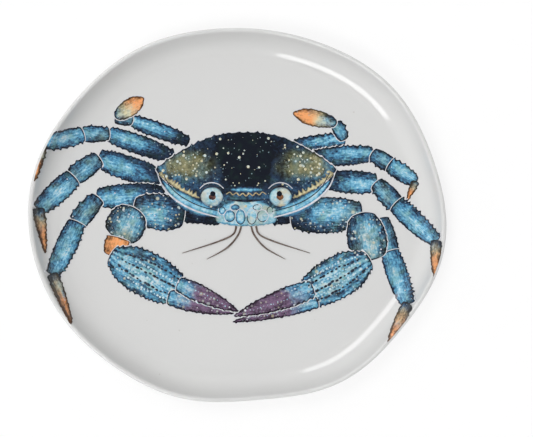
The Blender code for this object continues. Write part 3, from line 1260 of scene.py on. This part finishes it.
def brushwork_group(paint):
    """Shared by every painted surface: turns tone and tints into brushed watercolour."""
    group, given, result = shader_group(
        "brushwork",
        [
            ("Brush", "Vector"),
            ("Place", "Vector"),
            ("Streaks", "Float"),
            ("Blotches", "Float"),
            ("Outline", "Float"),
            ("Flecks", "Float"),
        ],
        [("Color", "Color")],
    )
    take = given.outputs
    values = {}
    for name in ("tone", "rim", "olive", "warm", "violet", "cream"):
        values[name] = wire(group, "ShaderNodeAttribute", attribute_name=name).outputs["Fac"]
    stretched = vector_maths(group, "MULTIPLY", take["Brush"], (16.0, 80.0, 1.0))
    streak = maths(group, "SUBTRACT", noise(group, stretched, 1.0, 3.0, 0.65), 0.5)
    blotch = maths(group, "SUBTRACT", noise(group, take["Place"], 170.0, 3.0, 0.65), 0.5)
    fleck = maths(group, "SUBTRACT", noise(group, take["Place"], 520.0, 2.0, 0.6), 0.5)
    pool = noise(group, take["Place"], 95.0, 2.0)
    creep = noise(group, take["Place"], 120.0, 3.0, 0.6)

    uneven = maths(group, "MULTIPLY", streak, take["Streaks"])
    uneven = maths(group, "MULTIPLY_ADD", blotch, take["Blotches"], uneven)
    uneven = maths(group, "MULTIPLY_ADD", fleck, maths(group, "MULTIPLY", take["Blotches"], 0.9), uneven)
    calmer_in_the_dark = ramp_between(group, values["tone"], 0.0, 0.4, 0.3, 1.0)
    tone = maths(group, "MULTIPLY_ADD", uneven, calmer_in_the_dark, values["tone"])
    uneven_rim = maths(group, "MULTIPLY_ADD", blotch, 2.6, values["rim"])
    outline = ramp_between(group, uneven_rim, 0.4, 2.0, 1.0, 0.0)
    outline = maths(group, "MULTIPLY", outline, take["Outline"])
    tone = maths(group, "MULTIPLY", tone, maths(group, "SUBTRACT", 1.0, outline), clamp=True)

    blue = colour_ramp(
        group,
        tone,
        (
            (0.0, paint.ink),
            (0.2, paint.navy),
            (0.38, paint.deep),
            (0.58, paint.mid),
            (0.8, paint.sky),
            (1.0, paint.pale),
        ),
    )
    light = ramp_between(group, tone, 0.0, 1.0, 0.06, 1.5)
    teal = vector_maths(group, "SCALE", tuple(paint.teal), light)
    green = ramp_between(group, creep, 0.46, 0.7, 0.0, 0.8)
    result_colour = mix_colour(group, green, blue, teal)
    lit_amount = ramp_between(group, tone, 0.0, 0.85, 0.1, 1.25)
    for name, shade, low, high in (
        ("olive", paint.olive, 0.25, 1.15),
        ("violet", paint.violet, -0.1, 0.5),
        ("cream", paint.cream, 0.0, 0.6),
        ("warm", paint.orange, -0.1, 0.5),
    ):
        lit = vector_maths(group, "SCALE", tuple(shade), lit_amount)
        patchy = maths(group, "SUBTRACT", maths(group, "ADD", values[name], pool), 0.5)
        amount = ramp_between(group, patchy, low, high)
        present = ramp_between(group, values[name], 0.0, 0.12)
        amount = maths(group, "MULTIPLY", amount, present, clamp=True)
        result_colour = mix_colour(group, amount, result_colour, lit)

    inside = ramp_between(group, values["rim"], 0.5, 1.5)
    specks = wire(group, "ShaderNodeAttribute", attribute_name="specks").outputs["Fac"]
    thick = maths(group, "MULTIPLY", ramp_between(group, specks, 0.55, 1.0), inside)
    for scale, smallest, largest in ((170.0, 0.3, 0.3), (250.0, 0.2, 0.32), (360.0, 0.2, 0.34)):
        drops = wire(group, "ShaderNodeTexVoronoi", {"Vector": take["Place"], "Scale": scale})
        parts = wire(group, "ShaderNodeSeparateXYZ", {0: drops.outputs["Color"]})
        reach = ramp_between(group, parts.outputs["X"], smallest, 1.0, 0.0, largest)
        soft = maths(group, "SUBTRACT", reach, drops.outputs["Distance"])
        soft = maths(group, "MULTIPLY", soft, 8.0, clamp=True)
        drop_colour = mix_colour(group, parts.outputs["Y"], tuple(paint.cream), tuple(paint.pale))
        amount = maths(group, "MULTIPLY", maths(group, "MULTIPLY", soft, thick), 0.8)
        result_colour = mix_colour(group, amount, result_colour, drop_colour)
    dots = wire(group, "ShaderNodeTexVoronoi", {"Vector": take["Place"], "Scale": 430.0})
    chosen = wire(group, "ShaderNodeSeparateXYZ", {0: dots.outputs["Color"]}).outputs["X"]
    size = ramp_between(group, chosen, 0.45, 1.0, 0.0, 0.24)
    star = maths(group, "LESS_THAN", dots.outputs["Distance"], size)
    star = maths(group, "MULTIPLY", star, maths(group, "MULTIPLY", inside, take["Flecks"]))
    result_colour = mix_colour(group, star, result_colour, tint(150, 178, 184))
    group.links.new(result_colour, result.inputs["Color"])
    return group


def start_material(name):
    material = bpy.data.materials.new(name)
    material.use_nodes = True
    tree = material.node_tree
    shader = tree.nodes["Principled BSDF"]
    return material, tree, shader


def fire_glaze(tree, shader, looks, groups):
    """Gives a material the plate's fired gloss and its slow hand-made swells."""
    place = wire(tree, "ShaderNodeTexCoord").outputs["Object"]
    group = tree.nodes.new("ShaderNodeGroup")
    group.node_tree = groups["surface"]
    tree.links.new(place, group.inputs["Place"])
    group.inputs["Swell Scale"].default_value = 22.0
    group.inputs["Ripple Scale"].default_value = 160.0
    inputs = {"Strength": 0.25, "Distance": 0.3 * MM, "Height": group.outputs["Height"]}
    bump = wire(tree, "ShaderNodeBump", inputs)
    tree.links.new(bump.outputs[0], shader.inputs["Normal"])
    shader.inputs["Roughness"].default_value = looks.gloss
    shader.inputs["IOR"].default_value = 1.5
    return place


def glaze_material(looks, groups):
    material, tree, shader = start_material("white_glaze")
    place = fire_glaze(tree, shader, looks, groups)
    height = wire(tree, "ShaderNodeSeparateXYZ", {0: place}).outputs["Z"]
    cells = wire(tree, "ShaderNodeTexVoronoi", {"Vector": place, "Scale": 190.0, "Randomness": 1.0})
    sparse = wire(tree, "ShaderNodeSeparateXYZ", {0: cells.outputs["Color"]}).outputs["X"]
    size = ramp_between(tree, sparse, 0.93, 1.0, 0.0, 0.14)
    near = maths(tree, "LESS_THAN", cells.outputs["Distance"], size)
    cloud = noise(tree, place, 14.0, 3.0)
    fog = ramp_between(tree, cloud, 0.3, 0.75, 0.0, 0.12)
    fogged = mix_colour(tree, fog, looks.glaze, tint(204, 204, 206))
    specked = mix_colour(tree, maths(tree, "MULTIPLY", near, 0.35), fogged, looks.speck)
    bare = ramp_between(tree, height, 0.25 * MM, 0.9 * MM, 1.0, 0.0)
    grit = noise(tree, place, 900.0, 2.0)
    clay = mix_colour(tree, grit, looks.clay, tint(172, 156, 136))
    surface = mix_colour(tree, bare, specked, clay)
    tree.links.new(surface, shader.inputs["Base Color"])
    rough = maths(tree, "MULTIPLY_ADD", bare, 0.75, looks.gloss)
    tree.links.new(rough, shader.inputs["Roughness"])
    return material


def paint_material(name, looks, groups, strengths):
    """Paint for patches. strengths are the brushwork's streaks, blotches, outline and flecks."""
    material, tree, shader = start_material(name)
    place = fire_glaze(tree, shader, looks, groups)
    brush = wire(tree, "ShaderNodeUVMap", uv_map="brush").outputs[0]
    labels = ("Streaks", "Blotches", "Outline", "Flecks")
    inputs = {"Brush": brush, "Place": place, **dict(zip(labels, strengths))}
    group = wire(tree, "ShaderNodeGroup", inputs, node_tree=groups["brushwork"])
    tree.links.new(group.outputs["Color"], shader.inputs["Base Color"])
    return material


def line_material(name, looks, groups, full, faded):
    """Paint for fine lines and dots: it pools and fades a little along the line."""
    material, tree, shader = start_material(name)
    place = fire_glaze(tree, shader, looks, groups)
    pooled = noise(tree, place, 240.0, 3.0)
    amount = ramp_between(tree, pooled, 0.35, 0.75)
    tree.links.new(mix_colour(tree, amount, full, faded), shader.inputs["Base Color"])
    return material


def make_materials(settings):
    looks, paint = settings.glaze, settings.paint
    groups = {"surface": hand_glaze_group(), "brushwork": brushwork_group(paint)}
    chalk_shade = tuple(0.72 * value for value in paint.chalk)
    return {
        "glaze": glaze_material(looks, groups),
        "limbs": paint_material("limb_paint", looks, groups, (1.1, 0.9, 0.95, 0.55)),
        "shell": paint_material("shell_paint", looks, groups, (0.1, 1.0, 0.6, 0.6)),
        "face": paint_material("face_paint", looks, groups, (0.35, 0.8, 0.35, 0.0)),
        "bare": line_material("bare_gap", looks, groups, tint(208, 209, 214), tint(216, 216, 218)),
        "chalk": line_material("chalk_line", looks, groups, paint.chalk, chalk_shade),
        "gold": line_material("gold_line", looks, groups, paint.gold, paint.cream),
        "ink": line_material("ink_line", looks, groups, paint.ink, paint.navy),
        "brown": line_material("feeler_brown", looks, groups, paint.brown, tint(120, 108, 100)),
        "cream": line_material("cream_spot", looks, groups, paint.cream, paint.pale),
        "pale": line_material("pale_bead", looks, groups, paint.pale, paint.sky),
    }


# ---------------------------------------------------------------------------------------------------------
# Working store shared by the operators


# How many steps a row is cut into, and the height of lines and of specks as shares of their width.
ROW_STEPS = 12
LINE_FLATNESS = 0.16
SPECK_FLATNESS = 0.2


class Studio:
    """What the operators make for each other: the plate's form, the painter, materials and trees."""

    form = None
    painter = None
    materials = None
    trees = None
    tops = {}


def keep_piece(piece):
    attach(piece, BODY)


def edge_mesh(name, lines):
    """A mesh of bare edges: each line is its points in millimetres and the half width at each."""
    points, edges, widths = [], [], []
    for line, line_widths in lines:
        start = len(points)
        points += [(x * MM, y * MM, 0.0) for x, y in line]
        edges += [(start + k, start + k + 1) for k in range(len(line) - 1)]
        widths += [width * MM for width in line_widths]
    data = bpy.data.meshes.new(name)
    data.from_pydata(points, edges, [])
    store_value(data, "half_width", np.array(widths))
    return data


def stroke_lines(strokes):
    """Each stroke's points, and its half width at each: full in the middle and thinner at both ends."""
    lines = []
    for stroke in strokes:
        count = len(stroke.points)
        widths = []
        for k in range(count):
            part = k / (count - 1)
            end_size = stroke.start if part < 0.5 else stroke.end
            swell = math.sin(math.pi * min(part, 1 - part)) if count > 2 else 0.7
            widths.append(end_size + (stroke.half_width - end_size) * swell)
        lines.append((stroke.points, widths))
    return lines


def row_lines(rows):
    """Points along each bowed row, with its dots' radius at each."""
    lines = []
    for start, end, bow, radius in rows:
        way = np.array(end, float) - np.array(start, float)
        side = np.array((-way[1], way[0])) / np.linalg.norm(way)
        parts = [k / ROW_STEPS for k in range(ROW_STEPS + 1)]
        line = [np.array(start) + way * part + side * bow * 4 * part * (1 - part) for part in parts]
        lines.append((line, [radius] * len(line)))
    return lines


def grow_lines(name, lines, tree, paint, lift_extra, more):
    """Grows strokes or rows on the plate. more holds the tree's inputs beyond the ones that both share."""
    values = {
        "Plate": bpy.data.objects["plate_body"],
        "Lift": bpy.context.scene.crab_plate.print_sizes.stroke_lift + lift_extra,
        "Flatness": LINE_FLATNESS,
        "Paint": Studio.materials[paint],
        **more,
    }
    keep_piece(grow_piece(name, edge_mesh(name, lines), Studio.trees[tree], values))


def add_strokes(name, strokes, paint, lift_extra=0.0):
    step = bpy.context.scene.crab_plate.print_sizes.stroke_step
    grow_lines(name, stroke_lines(strokes), "strokes", paint, lift_extra, {"Step": step})


def add_rows(name, rows, paint, spacing, stretch, seed, lift_extra):
    more = {"Spacing": spacing * MM, "Length": stretch, "Seed": seed}
    grow_lines(name, row_lines(rows), "beads", paint, lift_extra, more)


def add_specks(name, sources, paint, density, closest, smallest, largest, clearance, seed):
    """Scatters specks on the tops of painted pieces."""
    for source in sources:
        host = Studio.tops[source].copy()
        values = {
            "Density": density,
            "Closest": closest * MM,
            "Smallest": smallest * MM,
            "Largest": largest * MM,
            "Edge Clearance": clearance,
            "Flatness": SPECK_FLATNESS,
            "Seed": seed,
            "Paint": Studio.materials[paint],
        }
        piece = grow_piece(f"{name}_{source}", host, Studio.trees["specks"], values)
        keep_piece(piece)


def paint_patches(name, patches, paint, first_layer, washes=(), bare=True):
    """Paints one group of patches, with the bare gaps round them as a piece of its own."""
    painted, gaps = Studio.painter.sheets(patches, washes, first_layer)
    piece = place_piece(name, Studio.painter.mesh(name, painted), Studio.materials[paint])
    keep_piece(piece)
    if bare:
        gap_name = name + "_gaps"
        gap = place_piece(gap_name, Studio.painter.mesh(gap_name, gaps), Studio.materials["bare"])
        keep_piece(gap)
    Studio.tops[name] = Studio.painter.top_mesh(name + "_top", painted, 0.02 * MM)
    return piece


# ---------------------------------------------------------------------------------------------------------
# Operators


# The lowest layer of each group, in the order in which the groups lie on each other.
LAYERS = {"legs": 0, "underside": 29, "claws": 32, "shell": 46, "margins": 48, "face": 56, "pupils": 74}


class CRAB_OT_plate_body(bpy.types.Operator):
    """Build the glazed plate and set it in place of the plain one"""

    bl_idname = "crab.plate_body"
    bl_label = "Plate body"

    def execute(self, context):
        settings = context.scene.crab_plate
        sizes = settings.plate
        Studio.form = PlateForm(sizes)
        Studio.painter = Painter(Studio.form, settings.print_sizes)
        Studio.materials = make_materials(settings)
        Studio.trees = {"strokes": stroke_tree(), "beads": bead_tree(), "specks": speck_tree()}
        section = Studio.form.section()
        line = bpy.data.meshes.new("plate_section")
        line.from_pydata([(reach, 0.0, height) for reach, height in section], [], [])
        guide = bpy.data.objects.new("plate_section", line)
        context.scene.collection.objects.link(guide)
        values = {
            "Section": guide,
            "Section Points": len(section),
            "Steps Around": sizes.steps_around,
            "Mean Radius": sizes.mean_radius,
            "Middle X": float(Studio.form.middle[0]),
            "Middle Y": float(Studio.form.middle[1]),
            "Weld Distance": 0.01 * MM,
            "Glaze": Studio.materials["glaze"],
        }
        for count, height, crest in EDGE_LOBES:
            values[f"Lobe {count} Height"] = height
            values[f"Lobe {count} Crest"] = crest
        host = bpy.data.meshes.new("plate_host")
        plate = grow_piece("plate_body", host, plate_tree(), values)
        bpy.data.objects.remove(guide)
        point_outwards(plate.data)
        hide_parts(PLATE_NODE)
        keep_piece(plate)
        return {"FINISHED"}


def point_outwards(data):
    """Turns a closed mesh's faces over if they enclose a negative volume."""
    points = np.zeros(len(data.vertices) * 3)
    data.vertices.foreach_get("co", points)
    points = points.reshape(-1, 3)
    volume = 0.0
    for face in data.polygons:
        corners = points[list(face.vertices)]
        for k in range(1, len(corners) - 1):
            volume += np.dot(corners[0], np.cross(corners[k], corners[k + 1]))
    if volume < 0:
        data.flip_normals()


class CRAB_OT_legs(bpy.types.Operator):
    """Paint the eight legs, each from the shell outwards"""

    bl_idname = "crab.legs"
    bl_label = "Legs"

    def execute(self, context):
        paint_patches("legs_left", limbs_patches(*LEGS_LEFT), "limbs", LAYERS["legs"])
        paint_patches("legs_right", limbs_patches(*LEGS_RIGHT), "limbs", LAYERS["legs"])
        return {"FINISHED"}


class CRAB_OT_claws(bpy.types.Operator):
    """Paint the two claws"""

    bl_idname = "crab.claws"
    bl_label = "Claws"

    def execute(self, context):
        left = limbs_patches(ARM_LEFT, PALMS[0], *FINGERS_LEFT)
        right = limbs_patches(ARM_RIGHT, PALMS[1], *FINGERS_RIGHT)
        paint_patches("claw_left", left, "limbs", LAYERS["claws"])
        paint_patches("claw_right", right, "limbs", LAYERS["claws"])
        return {"FINISHED"}


class CRAB_OT_shell(bpy.types.Operator):
    """Paint the shell and its margins"""

    bl_idname = "crab.shell"
    bl_label = "Shell"

    def execute(self, context):
        paint_patches("underside", UNDERSIDE, "limbs", LAYERS["underside"], bare=False)
        paint_patches("shell", (SHELL,), "shell", LAYERS["shell"], SHELL_WASHES)
        paint_patches("shell_margins", MARGINS, "face", LAYERS["margins"], bare=False)
        return {"FINISHED"}


class CRAB_OT_face(bpy.types.Operator):
    """Paint the mouth, the eyes and the feelers"""

    bl_idname = "crab.face"
    bl_label = "Face and feelers"

    def execute(self, context):
        paint_patches("face", FACE, "face", LAYERS["face"], bare=False)
        paint_patches("pupils", PUPILS, "face", LAYERS["pupils"], bare=False)
        add_strokes("feelers", FEELERS, "brown")
        return {"FINISHED"}


class CRAB_OT_lines(bpy.types.Operator):
    """Draw the fine chalk, gold and ink lines"""

    bl_idname = "crab.lines"
    bl_label = "Fine lines"

    def execute(self, context):
        front = ((MIDDLE - 16, 18), (MIDDLE, 16.6), (MIDDLE + 16, 18))
        add_strokes("ink_lines", INK_LINES, "ink")
        add_strokes("front_teeth", (Stroke(zigzag(front, 5.2, 1.0), 0.5),), "gold", 0.04 * MM)
        add_strokes("chalk_lines", CHALK_LINES, "chalk", 0.02 * MM)
        return {"FINISHED"}


class CRAB_OT_dots(bpy.types.Operator):
    """Set the rows of beads on the claws and scatter the specks"""

    bl_idname = "crab.dots"
    bl_label = "Beads and specks"

    def execute(self, context):
        add_rows("claw_dashes", palm_rows(1, 1.0), "ink", 3.4, 1.6, 4, 0.0)
        add_rows("claw_beads", palm_rows(0, 0.85) + finger_rows(), "pale", 2.7, 1.1, 7, 0.03 * MM)
        add_specks("specks", ("claw_left", "claw_right"), "chalk", 26000, 2.6, 0.22, 0.95, 1.6, 3)
        add_specks("specks", ("legs_left", "legs_right"), "chalk", 12000, 2.8, 0.18, 0.6, 1.6, 5)
        add_specks("spots", ("shell",), "cream", 110000, 1.7, 0.2, 1.3, 1.6, 11)
        return {"FINISHED"}


class CRAB_OT_stage(bpy.types.Operator):
    """Set up the pale floor, the soft lamps and the camera"""

    bl_idname = "crab.stage"
    bl_label = "Studio"

    def execute(self, context):
        sizes = context.scene.crab_plate.stage
        add_floor(sizes)
        add_world(sizes)
        add_camera(context, sizes)
        context.scene.view_settings.view_transform = "Standard"
        return {"FINISHED"}


# Each lamp panel in degrees: its azimuth, its lean from straight above, its half width and half height.
LAMP_FRONT = (235.5, 28, 22, 11)
LAMP_BACK = (125, 28, 21, 11)


def add_floor(sizes):
    half = sizes.floor_width / 2
    below = -0.2 * MM
    corners = [(-half, -half, below), (half, -half, below), (half, half, below), (-half, half, below)]
    data = bpy.data.meshes.new("floor")
    data.from_pydata(corners, [], [(0, 1, 2, 3)])
    material, tree, shader = start_material("pale_floor")
    place = wire(tree, "ShaderNodeTexCoord").outputs["Object"]
    paper = noise(tree, place, 40.0, 3.0)
    shade = mix_colour(tree, paper, tint(140, 140, 140), tint(136, 136, 136))
    tree.links.new(shade, shader.inputs["Base Color"])
    shader.inputs["Roughness"].default_value = 1.0
    shader.inputs["Specular IOR Level"].default_value = 0.0
    shader.inputs["Emission Color"].default_value = (1.0, 1.0, 1.0, 1.0)
    shader.inputs["Emission Strength"].default_value = sizes.floor_glow
    floor = place_piece("floor", data, material)


def lamp_panel(tree, azimuth, zenith, angles):
    """A curved lamp panel on the sky: 1 inside it and 0 outside, with soft edges."""
    middle, tilt, half_width, half_height = (math.radians(angle) for angle in angles)
    soft = math.radians(1.1)
    aside = wire(
        tree,
        "ShaderNodeMath",
        {0: maths(tree, "SUBTRACT", azimuth, middle), 1: math.pi, 2: -math.pi},
        operation="WRAP",
    ).outputs[0]
    across = ramp_between(
        tree, maths(tree, "ABSOLUTE", aside), half_width - soft, half_width + soft, 1.0, 0.0
    )
    off_tilt = maths(tree, "ABSOLUTE", maths(tree, "SUBTRACT", zenith, tilt))
    up_down = ramp_between(tree, off_tilt, half_height - soft, half_height + soft, 1.0, 0.0)
    return maths(tree, "MULTIPLY", across, up_down)


def add_world(sizes):
    """Pale walls, a dimmer ceiling that keeps dark glaze dark, and two curved lamp panels on the left."""
    world = bpy.data.worlds.new("studio")
    world.use_nodes = True
    tree = world.node_tree
    background = tree.nodes["Background"]
    way = wire(tree, "ShaderNodeTexCoord").outputs["Generated"]
    part = wire(tree, "ShaderNodeSeparateXYZ", {0: way}).outputs
    azimuth = maths(tree, "ARCTAN2", part["Y"], part["X"])
    zenith = maths(tree, "ARCCOSINE", part["Z"])
    front = lamp_panel(tree, azimuth, zenith, LAMP_FRONT)
    back = lamp_panel(tree, azimuth, zenith, LAMP_BACK)
    lean = maths(tree, "MULTIPLY_ADD", part["X"], -0.94, maths(tree, "MULTIPLY", part["Y"], 0.34))
    walls = maths(tree, "MULTIPLY_ADD", lean, sizes.side_light, 1.0)
    ceiling = ramp_between(tree, part["Z"], 0.9, 0.975, sizes.around, sizes.overhead)
    strength = maths(tree, "MULTIPLY", walls, ceiling)
    strength = maths(tree, "MULTIPLY_ADD", front, sizes.front_lamp, strength)
    strength = maths(tree, "MULTIPLY_ADD", back, sizes.back_lamp, strength)
    tree.links.new(strength, background.inputs["Strength"])
    background.inputs["Color"].default_value = (1.0, 1.0, 1.0, 1.0)
    bpy.context.scene.world = world


# How high above the floor the view's width is measured.
VIEW_HEIGHT = 32 * MM


def add_camera(context, sizes):
    data = bpy.data.cameras.new("camera")
    data.sensor_width = 36.0
    data.lens = data.sensor_width * (sizes.camera_height - VIEW_HEIGHT) / sizes.view_width
    data.clip_end = 100.0
    camera = bpy.data.objects.new("camera", data)
    camera.location = (sizes.camera_right, sizes.camera_forward, sizes.camera_height)
    context.scene.collection.objects.link(camera)
    context.scene.camera = camera


# ---------------------------------------------------------------------------------------------------------
# Settings, panel and running order


class CrabPlateSettings(bpy.types.PropertyGroup):
    plate: PointerProperty(type=PlateSizes)
    glaze: PointerProperty(type=GlazeLooks)
    paint: PointerProperty(type=PaintColours)
    print_sizes: PointerProperty(type=PrintSizes)
    stage: PointerProperty(type=StageSizes)


OPERATORS = (
    CRAB_OT_plate_body,
    CRAB_OT_legs,
    CRAB_OT_claws,
    CRAB_OT_shell,
    CRAB_OT_face,
    CRAB_OT_lines,
    CRAB_OT_dots,
    CRAB_OT_stage,
)


class CRAB_PT_panel(bpy.types.Panel):
    """Lists the plate's settings and the steps that build it"""

    bl_idname = "CRAB_PT_panel"
    bl_label = "Crab Plate"
    bl_space_type = "VIEW_3D"
    bl_region_type = "UI"
    bl_category = "Crab Plate"

    def draw(self, context):
        settings = context.scene.crab_plate
        for group in (settings.plate, settings.glaze, settings.paint, settings.print_sizes, settings.stage):
            box = self.layout.box()
            for name in group.__annotations__:
                box.prop(group, name)
        for operator in OPERATORS:
            self.layout.operator(operator.bl_idname)


GROUPS = (PlateSizes, GlazeLooks, PaintColours, PrintSizes, StageSizes, CrabPlateSettings)
CLASSES = GROUPS + OPERATORS + (CRAB_PT_panel,)


def register():
    for item in CLASSES:
        bpy.utils.register_class(item)
    bpy.types.Scene.crab_plate = PointerProperty(type=CrabPlateSettings)


def unregister():
    del bpy.types.Scene.crab_plate
    for item in reversed(CLASSES):
        bpy.utils.unregister_class(item)


def main():
    register()
    bpy.ops.crab.plate_body()
    bpy.ops.crab.legs()
    bpy.ops.crab.claws()
    bpy.ops.crab.shell()
    bpy.ops.crab.face()
    bpy.ops.crab.lines()
    bpy.ops.crab.dots()
    bpy.ops.crab.stage()


if __name__ == "__main__":
    main()
